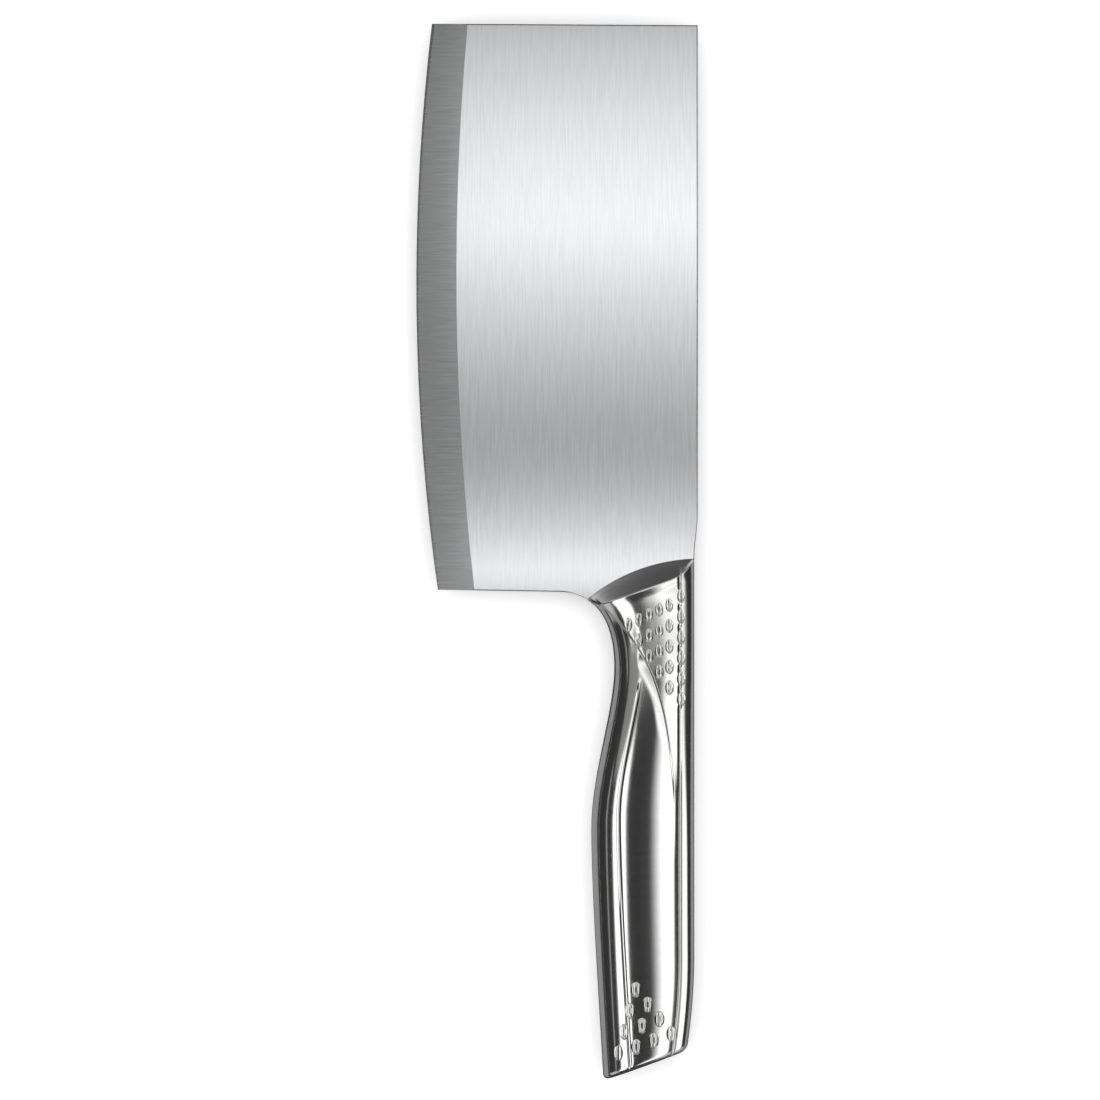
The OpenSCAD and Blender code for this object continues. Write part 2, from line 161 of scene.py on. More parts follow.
def spine_x(s):
    tuck = BUTT_TUCK * (np.maximum(0, s - TUCK_FROM) / TUCK_LEN) ** 2
    return -SPINE_INSET * ease_over(s, -STEP_FROM, -STEP_TO) - tuck


def width(s):
    return spine_x(s + SLANT * (SPINE_INSET + belly_x(s))) - belly_x(s)


def half_t(s):
    to_swell, to_butt = ease_over(s, THICKEN_FROM, SWELL_Y), ease_over(s, SWELL_Y, HANDLE_LEN)
    return (NECK_HALF_T + (SWELL_HALF_T - NECK_HALF_T) * to_swell
            + (BUTT_HALF_T - SWELL_HALF_T) * to_butt)


LAST_LINE = HANDLE_LEN + BUTT_R * (1 + SLANT - math.hypot(1, SLANT))
for place in (NECK_Y, SWELL_Y, HANDLE_LEN):
    print(f"{place:6.1f} mm behind the heel: {width(place):.2f} wide, {2 * half_t(place):.2f} thick")

# %% [markdown]
# Two groups of grip dimples are pressed into each shell: a triangle under the thumb and a
# smaller one at the butt. The thumb group's first column lies on the spine groove, which gives
# way to each of its dimples, so their places are needed before the surface is drawn.

# %% Where the dimples lie
DIMPLE_W, DIMPLE_L, DIMPLE_D, BUTT_DIMPLE_SIZE = 2.8, 4.3, 0.38, 1.1
THUMB_COLUMNS, THUMB_PITCH_X, THUMB_PITCH_Y = 6, 2.97, 6.0
THUMB_STAGGER, THUMB_Y, THUMB_SHIFT = 1.46, 1.8, 0.4
THUMB_APART, THUMB_BEHIND = 0.45, 1.1
BUTT_ROWS, BUTT_GROUP_X, BUTT_GROUP_Y = 4, 18.1, 26.2
BUTT_STAGGER, BUTT_PITCH_X, BUTT_PITCH_Y = 1.66, 5.1, 6.15
CLOSINGS = 12

places = [
    (-SPINE_INSET - GROOVE_INSET + THUMB_SHIFT - c * THUMB_PITCH_X - min(1, c) * THUMB_APART,
     -THUMB_Y - c * THUMB_STAGGER - r * THUMB_PITCH_Y - min(1, c) * THUMB_BEHIND)
    for c in range(THUMB_COLUMNS) for r in range(THUMB_COLUMNS - c)
]
places += [
    (-BUTT_GROUP_X - r * BUTT_STAGGER + c * BUTT_PITCH_X,
     -HANDLE_LEN + BUTT_GROUP_Y - r * BUTT_PITCH_Y + c * BUTT_PITCH_X * SLANT)
    for r in range(BUTT_ROWS) for c in range(r + 1)
]


def line_at(x, y):
    """The line that passes through a point of the plan, found by closing in on it."""
    s = NECK_Y
    for _ in range(CLOSINGS):
        s = -y + SLANT * (x - float(belly_x(s)))
    return s


FIRST_COLUMN_S = np.array([line_at(x, y) for x, y in places[:THUMB_COLUMNS]])
print("the first column's dimples lie at s =", FIRST_COLUMN_S.round(1))

# %% [markdown]
# Over the bare section lies the relief. A thumb panel stands a little proud, and its edge
# sweeps from the belly at the neck down to the spine groove. A crease runs beside the palm,
# and a groove follows the spine to the butt. In pressed and polished steel all of these are
# soft, so each is written with a smooth profile rather than a sharp one. The places of the
# sweeping edge and of the crease come first, as distances d on each line.

# %% Where the sweeping edge and the crease run
CREASE_INSET, CREASE_GAP = 7.9, 2.4
CREASE_MOST, PALM_MOST = 0.8, 0.4
SWEEP_FAR, SWEEP_HALF, SWEEP_LEAST, SWEEP_GAP = 10.2, 15.7, 2.0, 1.3
STEP_W = 0.68


def sweep_d(s):
    from_groove = np.maximum(SWEEP_GAP, SWEEP_FAR * 2 ** ((NECK_Y - s) / SWEEP_HALF))
    return np.maximum(SWEEP_LEAST, width(s) - GROOVE_INSET - from_groove)


def crease_d(s):
    return np.minimum(CREASE_INSET, np.maximum(sweep_d(s) / 2, sweep_d(s) - CREASE_GAP))


def crease_half_w(s):
    """As wide as the groove, or less where the belly or the sweeping edge is close."""
    palm = sweep_d(s) - STEP_W - crease_d(s)
    return np.minimum(GROOVE_W / 2, np.minimum(CREASE_MOST * crease_d(s), PALM_MOST * palm))


print(f"at the swell the crease lies {crease_d(SWELL_Y):.1f} mm in and the sweeping edge "
      f"{sweep_d(SWELL_Y):.1f} mm in")

# %% The bare section, and the thumb panel on it
PANEL_RISE, RISE_OUT = 0.4, 3.0
SWEEP_END, SWEEP_FADE = 90.0, 50.0


def arch(s, d):
    """The bare section: rounded towards the belly, squarer at the spine beyond the groove."""
    u, g = 2 * d / width(s) - 1, 1 - 2 * GROOVE_INSET / width(s)
    belly_side = np.maximum(0, 1 - np.abs(u) ** SECTION_POWER) ** (1 / SECTION_POWER)
    v = np.maximum(0, u)
    crown = 1 - CROWN_FALL * np.minimum(v, g) ** CROWN_POWER - STRIP_FALL * np.maximum(0, v - g)
    spine_side = crown * np.maximum(0, 1 - v ** CORNER_POWER) ** (1 / SECTION_POWER)
    return half_t(s) * np.where(u < 0, belly_side, spine_side)


def rise(s, d):
    """The panel comes up over the sweeping edge, and goes down between groove and spine."""
    return (PANEL_RISE * ease((SWEEP_END - s) / SWEEP_FADE) * ease(1 + (d - sweep_d(s)) / STEP_W)
            * ease((width(s) - GROOVE_INSET - d) / RISE_OUT + 1))


crown = arch(SWELL_Y, width(SWELL_Y) / 2)
print("crown at the palm swell, mm:", round(float(crown), 3))

# %% [markdown]
# Shallow falls do the rest. The palm falls a little before it meets the sweeping edge, which
# makes the bright ribbon beside that edge. The groove gives way to each dimple of the first
# column and gains a soft shoulder towards the butt. Straight behind the bolster's ridge the
# shells fall by a hair and come back slowly. That ridge is drawn further down, where its line
# is worked out.

# %% The falls in the surface
DIP_DEPTH, DIP_W = 0.35, 2.6
DIP_IN, DIP_OUT = (19.0, 27.0), (42.0, 54.0)
SHOULDER_DEPTH, SHOULDER_W, SHOULDER_IN = 0.15, 2.0, (56, 72)
GIVE_WAY = 1.6
FOLD_DEPTH, FOLD_AT, FOLD_END, FOLD_IN = 0.14, 2.2, 40, 1.6


def trough(u):
    """A soft-edged groove's depth across its width, 1 at u = 0 and 0 from u = 1 outwards."""
    return np.maximum(0, 1 - u * u) ** 2


def dip(s, d):
    """How far the palm falls towards the foot of the sweeping edge."""
    t = np.clip((sweep_d(s) - STEP_W - d) / DIP_W, 0, 1)
    fade = ease_over(s, *DIP_IN) * ease_over(s, *DIP_OUT[::-1])
    return DIP_DEPTH * fade * (1 - t) ** 2 * (d < sweep_d(s) - STEP_W / 2)


def groove_share(s):
    """The groove gives way to each dimple of the first thumb column, which lies on it."""
    along = (s[..., None] if np.ndim(s) else s) - FIRST_COLUMN_S
    return 1 - np.max(ease(GIVE_WAY - np.abs(along) / (DIMPLE_L / 2)), axis=-1)


def groove(s, d):
    """The narrow groove; towards the butt it gains a soft shoulder on the palm's side."""
    side = d - width(s) + GROOVE_INSET
    half_w = np.where(side < 0, SHOULDER_W, GROOVE_W / 2)
    shoulder = SHOULDER_DEPTH * ease_over(s, *SHOULDER_IN)
    narrow = (GROOVE_DEPTH - SHOULDER_DEPTH) * trough(side / (GROOVE_W / 2))
    return groove_share(s) * (narrow + shoulder * trough(side / half_w))


def fold(s, d):
    """The shells fall a little straight behind the ridge, and come back slowly."""
    behind = np.maximum(0, s - ridge_line(d / width(s)))
    fall = 1 - np.maximum(0, 1 - behind / FOLD_AT) ** 2
    dent = fall * (1 - ease_over(behind, FOLD_AT, FOLD_END))
    return FOLD_DEPTH * dent * ease(d / FOLD_IN) * ease((width(s) - d) / FOLD_IN)


print(f"the palm falls by up to {DIP_DEPTH} mm, and the shells behind the ridge by {FOLD_DEPTH} mm")

# %% The height of the outside, and its place on the drawing
CREASE_START, CREASE_FADE, CREASE_DEPTH = 28.0, 8.0, 0.3
CREASE_SOFT_AT, CREASE_SOFT_BY = (86, 98), 0.5
MOST_SUNK = 0.9


def outer_z(s, d):
    fade = ease((s - CREASE_START) / CREASE_FADE)
    fade = fade * (1 - CREASE_SOFT_BY * ease_over(s, *CREASE_SOFT_AT))
    crease = CREASE_DEPTH * fade * trough((d - crease_d(s)) / crease_half_w(s))
    sunk = np.minimum(groove(s, d) + crease + dip(s, d) + fold(s, d), MOST_SUNK * arch(s, d))
    return np.maximum(0, arch(s, d) + rise(s, d) - sunk)


def on_plan(s, d, z):
    """Points on the drawing, from the line s, the distance d along it and the height z."""
    return np.stack(np.broadcast_arrays(belly_x(s) + d, -s + SLANT * d, z), axis=-1)


print(f"the crease is up to {CREASE_DEPTH} mm deep and the groove {GROOVE_DEPTH} mm")

# %% [markdown]
# The columns of the mesh follow the relief. Each band between two of its lines, such as the
# crease's two sides or the step's two sides, gets its own number of columns, so a narrow
# groove is as smooth as the wide palm. Near the belly and the spine the section turns down
# steeply, and the columns there crowd towards the edge.

# %% Columns across the shell
BAND_COLUMNS = {
    "belly": 30, "crease": 12, "palm": 26, "step": 9,
    "thumb": 36, "groove": 16, "fall": 8, "spine": 16,
}
EDGE_CROWDING = 2.3


def band_lines(s):
    crease, sweep, spine_groove = crease_d(s), sweep_d(s), width(s) - GROOVE_INSET
    return np.array([
        0 * s, crease - crease_half_w(s), crease + crease_half_w(s), sweep - STEP_W, sweep,
        spine_groove - GROOVE_W / 2, spine_groove + GROOVE_W / 2, spine_groove + GROOVE_W, width(s),
    ])


band_of, share_of = [], []
for number, (band, count) in enumerate(BAND_COLUMNS.items()):
    for t in np.arange(count) / count:
        if band == "belly":
            t = t ** EDGE_CROWDING
        if band == "spine":
            t = 1 - (1 - t) ** EDGE_CROWDING
        band_of.append(number)
        share_of.append(t)
band_of.append(len(BAND_COLUMNS) - 1)
share_of.append(1.0)
band_of, share_of = np.array(band_of), np.array(share_of)


def column_d(s):
    """d of every column, for an array s whose last axis runs over the columns."""
    lines = band_lines(s)
    pick = np.broadcast_to(band_of, s.shape)[None]
    low = np.take_along_axis(lines, pick, axis=0)[0]
    high = np.take_along_axis(lines, pick + 1, axis=0)[0]
    return low + share_of * (high - low)


print(len(band_of), "columns across each shell")

# %% [markdown]
# The bolster's hollow face ends in a ridge, which crosses the handle on one slanted line and
# turns forward near the spine. Its two ends are tied to the arc on the flat of the plate: one
# lies a set distance behind it on the belly, the other just behind it on the spine. Both places
# are found by halving. The same ridge, set back by the width of the rim, is the seam where the
# shells begin. A column crosses such a line where its share of the width matches the line's,
# and a few rounds of putting one into the other settle on that place.

# %% Where the columns meet the ridge and the seam
BOLSTER_R, BOLSTER_X, BOLSTER_LEAD = 51.8, 0.7, 9.1
RIDGE_BACK, RIDGE_GAP, TURN_FROM = 2.1, 0.4, 0.7
FACE_HOLLOW, RIM_W = 0.7, 1.3
BOLSTER_Y = BOLSTER_R - BOLSTER_LEAD
HALVINGS, ROUNDS = 40, 30
ACROSS_SLANT = math.hypot(1, SLANT)


def halve(beyond, near, far):
    """The place between near and far from which beyond(place) stops being true."""
    for _ in range(HALVINGS):
        middle = (near + far) / 2
        near, far = (middle, far) if beyond(middle) else (near, middle)
    return (near + far) / 2


def outside_arc(s):
    return math.hypot(belly_x(s) - BOLSTER_X, -s + BOLSTER_Y) > BOLSTER_R


belly_end = halve(outside_arc, HEEL_DROP, NECK_Y)
RIDGE_START = belly_end + RIDGE_BACK
ridge_tip = halve(
    lambda s: -s + SLANT * width(s) > BOLSTER_LEAD - RIDGE_GAP, HEEL_DROP, RIDGE_START)
RIDGE_TURN = RIDGE_START - ridge_tip


def ridge_line(share):
    beyond = np.maximum(0, share - TURN_FROM) / (1 - TURN_FROM)
    return RIDGE_START - RIDGE_TURN * beyond ** 3


def meets_ridge(place_d, count, back):
    """s at which each column crosses the ridge set back by a distance."""
    s = np.full(count, RIDGE_START)
    for _ in range(ROUNDS):
        s = ridge_line(place_d(s) / width(s)) + back * ACROSS_SLANT
    return s


def outside(s):
    d = column_d(s)
    return on_plan(s, d, outer_z(s, d))


ridge_s = meets_ridge(column_d, len(band_of), 0)
seam_s = meets_ridge(column_d, len(band_of), RIM_W)
print(f"the ridge runs from {RIDGE_START:.2f} to {ridge_tip:.2f} mm behind the heel, the seam from "
      f"{seam_s.max():.2f} to {seam_s.min():.2f}")

# %% [markdown]
# A few small helpers make every mesh. One turns points on the drawing into an object at the
# part's origin. Another closes it: doubled points are merged, normals are made to point
# outwards, and the open edges are counted. A third marks the edges sharper than an angle, so
# that the rest is shaded smooth. Rows of points are joined by quads, and a loft through closed
# rings of points also gets a flat face over each end.

# %% Mesh helpers
FINE_MERGE, MERGE, COARSE_MERGE = 1e-7, 1e-6, 2e-6


def add_object(name, data):
    data.name = name
    made = bpy.data.objects.new(name, data)
    bpy.context.scene.collection.objects.link(made)
    return made


def make_object(name, points, faces):
    mesh = bpy.data.meshes.new(name)
    mesh.from_pydata((np.asarray(points) + ORIGIN) * MM, [], faces)
    return add_object(name, mesh)


def close_mesh(made, merge=FINE_MERGE):
    work = bmesh.new()
    work.from_mesh(made.data)
    bmesh.ops.remove_doubles(work, verts=work.verts, dist=merge)
    bmesh.ops.dissolve_degenerate(work, edges=work.edges, dist=merge)
    bmesh.ops.recalc_face_normals(work, faces=work.faces)
    open_edges = sum(not e.is_manifold for e in work.edges)
    work.to_mesh(made.data)
    volume = work.calc_volume() / MM ** 3
    work.free()
    print(f"{made.name}: {len(made.data.polygons)} faces, {volume:.0f} mm3, {open_edges} open edges")


def shade(made, angle):
    made.data.polygons.foreach_set("use_smooth", [True] * len(made.data.polygons))
    made.data.set_sharp_from_angle(angle=math.radians(angle))


def grid_faces(rows, columns, start=0, closed=False):
    """Quads between neighbouring rows of points, the last column joined to the first if closed."""
    last = columns if closed else columns - 1
    return [
        (start + i * columns + j, start + i * columns + (j + 1) % columns,
         start + (i + 1) * columns + (j + 1) % columns, start + (i + 1) * columns + j)
        for i in range(rows - 1) for j in range(last)
    ]
def loft(name, rings, merge=FINE_MERGE):
    """A closed solid through rings of points, with a flat face over each end."""
    n_rings, n_round = rings.shape[:2]
    faces = grid_faces(n_rings, n_round, closed=True)
    faces += [list(range(n_round)), list(range((n_rings - 1) * n_round, n_rings * n_round))]
    made = make_object(name, rings.reshape(-1, 3), faces)
    close_mesh(made, merge)
    return made


# %% [markdown]
# A half shell is pressed from sheet: a sculpted outside, a plain hollow inside, and a flat
# lip where it is welded to its twin. The outside is a fine grid of rows and columns. Its
# first row lies on the bolster's rim, and its last rows turn over the butt. The hollow needs
# only a coarse grid. The lip, the butt's end and the front edge are single flat faces between
# the two, which closes the shell.

# %% The smooth half shell
FRONT_LEN, FRONT_ROWS, BODY_ROWS = 36.0, 90, 150
TURN_ROWS = 10
BUTT_TURN = np.radians(np.linspace(90 / TURN_ROWS, 90, TURN_ROWS))
HOLLOW_ROWS, HOLLOW_COLUMNS = 40, 25

body_end = LAST_LINE - BUTT_R
row_start = seam_s.mean()
rows_s = np.concatenate([
    np.linspace(row_start, FRONT_LEN, FRONT_ROWS, endpoint=False),
    np.linspace(FRONT_LEN, body_end, BODY_ROWS),
])
settle = 1 - ease_over(rows_s, row_start, FRONT_LEN)
grid_s = rows_s[:, None] + settle[:, None] * (seam_s - row_start)[None]
skin = [outside(grid_s)]
for turn in BUTT_TURN:
    s = np.full(len(band_of), LAST_LINE - BUTT_R * (1 - math.sin(turn)))
    inset = BUTT_R * (1 - math.cos(turn))
    d = column_d(s)
    drawn_in = inset + d * (1 - 2 * inset / width(s))
    skin.append(on_plan(s, drawn_in, outer_z(s, d) * (1 - inset / half_t(s)))[None])
skin = np.concatenate(skin)
print("outside grid:", skin.shape[:2])

# %% The hollow inside it, and the faces that close the shell
def signed_power(v, q):
    return np.sign(v) * np.abs(v) ** q


ring_angles = np.linspace(0, math.pi, HOLLOW_COLUMNS)


def ring_d(s, inset, angles):
    half = width(s) / 2
    return half - (half - inset) * signed_power(np.cos(angles), 2 / SECTION_POWER)


def ring(s, inset, angles):
    z = (half_t(s) - inset) * signed_power(np.sin(angles), 2 / SECTION_POWER)
    return on_plan(s, ring_d(s, inset, angles), z)


hollow_end = LAST_LINE - WALL * ACROSS_SLANT
hollow_front = meets_ridge(lambda s: ring_d(s, WALL, ring_angles), HOLLOW_COLUMNS, RIM_W)
share = np.linspace(0, 1, HOLLOW_ROWS)[:, None]
hollow = ring(hollow_front + share * (hollow_end - hollow_front), WALL, ring_angles)

rows, columns = skin.shape[:2]
skin_id = np.arange(rows * columns).reshape(rows, columns)
hollow_id = rows * columns + np.arange(HOLLOW_ROWS * HOLLOW_COLUMNS).reshape(HOLLOW_ROWS, -1)
lip = [*skin_id[:, 0], *skin_id[::-1, -1], *hollow_id[:, -1], *hollow_id[::-1, 0]]
front_edge = [*skin_id[0], *hollow_id[0, ::-1]]
shell_faces = grid_faces(rows, columns) + grid_faces(HOLLOW_ROWS, HOLLOW_COLUMNS, rows * columns)
shell_faces += [[int(i) for i in f] for f in (lip, front_edge, skin_id[-1], hollow_id[-1])]
smooth_shell = make_object(
    "smooth_shell", np.concatenate([skin.reshape(-1, 3), hollow.reshape(-1, 3)]), shell_faces)
close_mesh(smooth_shell)

# %% [markdown]
# The grip dimples are all one shape, like a coffee bean: an oval with two hollow halves and a
# low ridge between them. A shape that repeats is made once and placed many times, which is
# what Geometry Nodes do well. The tool is a small closed solid whose underside is the
# dimple's floor. Points say where each dimple lies, how far the surface leans there and how
# large it is. The node tree stands the tool on every point and cuts it out of the shell.

# %% The bean-shaped tool
BEAN_STEPS = 22
TOOL_TOP = 1.0
OVAL_POWER, END_POWER = 0.52, 0.7
PROFILE_AT = [0, 0.05, 0.2, 0.31, 0.42, 0.52, 0.62, 0.81, 1]
PROFILE_DEPTH = [0.4, 0.4, 0.9, 0.975, 1, 0.975, 0.9, 0.46, 0]


def bean_depth(u):
    """Depth across the bean: a narrow ridge in the middle, a hollow floor, sloping rims."""
    return np.interp(np.abs(u), PROFILE_AT, PROFILE_DEPTH)


across = np.array([-u for u in PROFILE_AT[:0:-1]] + PROFILE_AT)
along = np.sin(np.linspace(-math.pi / 2, math.pi / 2, BEAN_STEPS + 1))
oval = (1 - along ** 2).clip(0) ** OVAL_POWER
floor_x = DIMPLE_W / 2 * oval[:, None] * across
floor_y = np.broadcast_to(DIMPLE_L / 2 * along[:, None], floor_x.shape)
floor_z = -DIMPLE_D * bean_depth(across) * oval[:, None] ** END_POWER
floor = np.stack([floor_x, floor_y, floor_z], axis=-1)
lid = floor * [1, 1, 0] + [0, 0, TOOL_TOP]
n_along, n_across = floor.shape[:2]
count = n_along * n_across
tool_points = np.concatenate([floor.reshape(-1, 3), lid.reshape(-1, 3)])
tool_faces = grid_faces(n_along, n_across) + grid_faces(n_along, n_across, count)
for i in range(n_along - 1):
    for j in (0, n_across - 1):
        a, b = i * n_across + j, (i + 1) * n_across + j
        tool_faces.append((a, b, b + count, a + count))
bean_tool = make_object("bean_tool", tool_points - ORIGIN, tool_faces)
close_mesh(bean_tool, COARSE_MERGE)

# %% How the surface leans under each dimple
def bare_z(s, d):
    return arch(s, d) + rise(s, d)


centres, leans = [], []
for x, y in places:
    s = line_at(x, y)
    d = x - float(belly_x(s))
    reach = DIMPLE_W / 4
    slope = (bare_z(s, d + reach) - bare_z(s, d - reach)) / (2 * reach)
    centres.append((x, y, float(bare_z(s, d))))
    leans.append(-math.atan(float(slope)))
dimple_points = make_object("dimple_points", centres, [])
n_thumb = THUMB_COLUMNS * (THUMB_COLUMNS + 1) // 2
sizes = [1.0] * n_thumb + [BUTT_DIMPLE_SIZE] * (len(places) - n_thumb)
for label, values in (("lean", leans), ("size", sizes)):
    dimple_points.data.attributes.new(label, "FLOAT", "POINT").data.foreach_set("value", values)
most = round(math.degrees(max(map(abs, leans))), 1)
print(len(centres), "dimples a side, leaning by up to", most, "degrees")

# %% [markdown]
# The tree below has named inputs for the shell, the tool, the points and a size factor. It
# reads each point's lean and own size, stands a copy of the tool there, makes the copies real
# and takes them away from the shell. Its result is turned into a plain mesh straight away, and
# the modifier goes, because the finished knife has to be ordinary meshes. A few helpers come
# first, which the finishes use too, so that every tree reads as one list of joins.

# %% Helpers for node trees
def new_group(name, kind, inputs, outputs):
    """An empty node group; each socket is given by its label and the kind of value it carries."""
    group = bpy.data.node_groups.new(name, kind)
    for way, sockets in (("INPUT", inputs), ("OUTPUT", outputs)):
        for label, carries in sockets:
            group.interface.new_socket(label, in_out=way, socket_type="NodeSocket" + carries)
    return group


def new_node(tree, kind, values=None, **settings):
    """A new node, with its own settings and then the values of its inputs."""
    made = tree.nodes.new(kind)
    for setting, choice in settings.items():
        setattr(made, setting, choice)
    for socket, value in (values or {}).items():
        made.inputs[socket].default_value = value
    return made


def math_node(tree, operation, values=None):
    return new_node(tree, "ShaderNodeMath", values, operation=operation)


def wire(tree, joins):
    """Join sockets, each join written as (node, its output, node, its input)."""
    for source, out, target, into in joins:
        tree.links.new(source.outputs[out], target.inputs[into])


# %% A node tree that presses the dimples
press = new_group("press_dimples", "GeometryNodeTree", [
    ("Geometry", "Geometry"), ("Tool", "Object"), ("Places", "Object"), ("Size", "Float"),
    ("Finish", "Material"),
], [("Geometry", "Geometry")])
add = press.nodes.new
given, result = add("NodeGroupInput"), add("NodeGroupOutput")
tool_info, place_info = add("GeometryNodeObjectInfo"), add("GeometryNodeObjectInfo")
lean, own_size = (
    new_node(press, "GeometryNodeInputNamedAttribute", {"Name": name}, data_type="FLOAT")
    for name in ("lean", "size"))
turn, full_size = add("ShaderNodeCombineXYZ"), math_node(press, "MULTIPLY")
stand, real = add("GeometryNodeInstanceOnPoints"), add("GeometryNodeRealizeInstances")
cut = new_node(press, "GeometryNodeMeshBoolean", operation="DIFFERENCE", solver="EXACT")
whole, paint = add("GeometryNodeRealizeInstances"), add("GeometryNodeSetMaterial")
wire(press, (
    (given, "Tool", tool_info, "Object"), (given, "Places", place_info, "Object"),
    (lean, "Attribute", turn, "Y"),
    (given, "Size", full_size, 0), (own_size, "Attribute", full_size, 1),
    (place_info, "Geometry", stand, "Points"), (tool_info, "Geometry", stand, "Instance"),
    (turn, "Vector", stand, "Rotation"), (full_size, "Value", stand, "Scale"),
    (stand, "Instances", real, "Geometry"),
    (given, "Geometry", cut, "Mesh 1"), (real, "Geometry", cut, "Mesh 2"),
    (cut, "Mesh", whole, "Geometry"), (whole, "Geometry", paint, "Geometry"),
    (given, "Finish", paint, "Material"), (paint, "Geometry", result, "Geometry"),
))
print("press_dimples:", len(press.nodes), "nodes")

# %% Press them, and keep the result as a plain mesh
SHARP_ANGLE = 32


def keep_result(source, name):
    """The mesh that the source's modifiers make, as a new plain object."""
    evaluated = source.evaluated_get(bpy.context.evaluated_depsgraph_get())
    return add_object(name, bpy.data.meshes.new_from_object(evaluated))


def run_tree(source, tree, values, name):
    """The source with a node tree run over it, kept as a mesh, and no modifier left."""
    modifier = source.modifiers.new(tree.name, "NODES")
    modifier.node_group = tree
    sockets = [item for item in tree.interface.items_tree if item.in_out == "INPUT"]
    for socket in sockets:
        if socket.name in values:
            modifier[socket.identifier] = values[socket.name]
    made = keep_result(source, name)
    source.modifiers.remove(modifier)
    return made


handle_steel = bpy.data.materials.new("handle_steel_polished")
left = run_tree(smooth_shell, press, {
    "Tool": bean_tool, "Places": dimple_points, "Size": 1.0, "Finish": handle_steel,
}, "left_half_shell")
close_mesh(left)
shade(left, SHARP_ANGLE)

# %% [markdown]
# The two halves are pressed in mirrored dies, so the far one is the near one reflected in the
# middle of the plate. Reflecting a mesh turns its faces inside out, and they are turned back.

# %% The other half shell
right = add_object("right_half_shell", left.data.copy())
middle = ORIGIN[2] * MM
right.data.transform(Matrix.Translation((0, 0, 2 * middle)) @ Matrix.Scale(-1, 4, (0, 0, 1)))
right.data.flip_normals()
shade(right, SHARP_ANGLE)
for scrap in (smooth_shell, bean_tool, dimple_points):
    bpy.data.objects.remove(scrap)
print("left and right half shells:", len(left.data.polygons), "faces each")

# %% [markdown]
# The bolster is one solid piece. From the ridge its hollow face falls to the plate on both
# sides, and behind the ridge lies a narrow rim that carries the shells' surface forward. Each
# column of the shell is followed round the bolster as a closed loop: rim, ridge, hollow
# face, plate, and the same on the far side. The ridge is a small curve between rim and face,
# because a polished ridge is never a knife edge.

# %% The arc, the ridge, and the hollow face between them
END_SHARES = (0.005, 0.01)


def arc_angle(x, y):
    return math.atan2(y + BOLSTER_Y, x - BOLSTER_X)


arc_from = arc_angle(float(belly_x(belly_end)), -belly_end)
arc_to = arc_angle(-SPINE_INSET, BOLSTER_LEAD)
ridge = outside(ridge_s)
share_u = column_d(ridge_s) / width(ridge_s)
arc_a = arc_from + (arc_to - arc_from) * share_u
end_share = np.minimum(share_u / END_SHARES[0], (1 - share_u) / END_SHARES[1])
plate_z = np.minimum(HALF_PLATE * np.minimum(1, end_share), ridge[:, 2])
arc_line = np.stack([BOLSTER_X + BOLSTER_R * np.cos(arc_a), BOLSTER_R * np.sin(arc_a) - BOLSTER_Y,
                     plate_z], axis=-1)


def hollow_face(k):
    """The hollow face, a share k of the way up from the arc to the ridge."""
    points = arc_line * (1 - k) + ridge * k
    deep = np.maximum(0, ridge[:, 2] - HALF_PLATE) / (NECK_HALF_T - HALF_PLATE)
    points[:, 2] -= FACE_HOLLOW * deep * 4 * k * (1 - k)
    return points


slope_len = np.linalg.norm(ridge - arc_line, axis=1)
print(f"the hollow face is up to {slope_len.max():.1f} mm long")

# %% The bolster's front, lofted through closed loops
RIM_ROWS, RIDGE_STEPS, FACE_ROWS, BACK_ROWS = 5, 5, 14, 7
RIDGE_SOFT, SOFT_SHARE, SOFT_K_ENDS = 0.28, 0.25, (0.01, 0.2)

soft = np.minimum(RIDGE_SOFT, SOFT_SHARE * ridge[:, 2])
soft_k = float(np.clip(RIDGE_SOFT / np.median(slope_len), *SOFT_K_ENDS))
rim_end_s = ridge_s + (seam_s - ridge_s) * soft / RIM_W
loop = [outside(seam_s + (rim_end_s - seam_s) * i / RIM_ROWS) for i in range(RIM_ROWS)]
for t in np.linspace(0, 1, RIDGE_STEPS):
    loop.append((1 - t) ** 2 * outside(rim_end_s) + 2 * t * (1 - t) * ridge
                + t ** 2 * hollow_face(1 - soft_k))
loop += [hollow_face(k) for k in np.linspace(1 - soft_k, 0, FACE_ROWS + 1)[1:]]
upper = np.array(loop)
lower = upper[::-1] * [1, 1, -1]
back_loop = [upper[0] * [1, 1, t] for t in np.linspace(-1, 1, BACK_ROWS + 2)[1:-1]]
rings = np.concatenate([upper, lower, np.array(back_loop)]).transpose(1, 0, 2)
bolster_front = loft("bolster_front", rings, COARSE_MERGE)

# %% [markdown]
# Behind the front stands the spigot that the shells are pushed onto, and through both runs the
# slot for the tang. Neither shows on a finished knife. They are lofted as plain solids here and
# joined or cut with two Boolean modifiers, whose result is kept as a mesh.

# %% The spigot and the slot for the tang
FIT, SPIGOT_LEN, SPIGOT_ROWS, SPIGOT_COLUMNS = 0.05, 9.0, 14, 48
TANG_W, TANG_LEN, TANG_STEP = 11.0, 46.0, 0.1

turn_angles = np.linspace(0, 2 * math.pi, SPIGOT_COLUMNS, endpoint=False)
spigot_front = meets_ridge(lambda s: ring_d(s, WALL + FIT, turn_angles), SPIGOT_COLUMNS, RIM_W / 2)
spigot_end = RIDGE_START + (RIM_W + SPIGOT_LEN) * ACROSS_SLANT
share = np.linspace(0, 1, SPIGOT_ROWS)[:, None]
spigot_rows = ring(spigot_front + share * (spigot_end - spigot_front), WALL + FIT, turn_angles)
spigot = loft("spigot", spigot_rows)

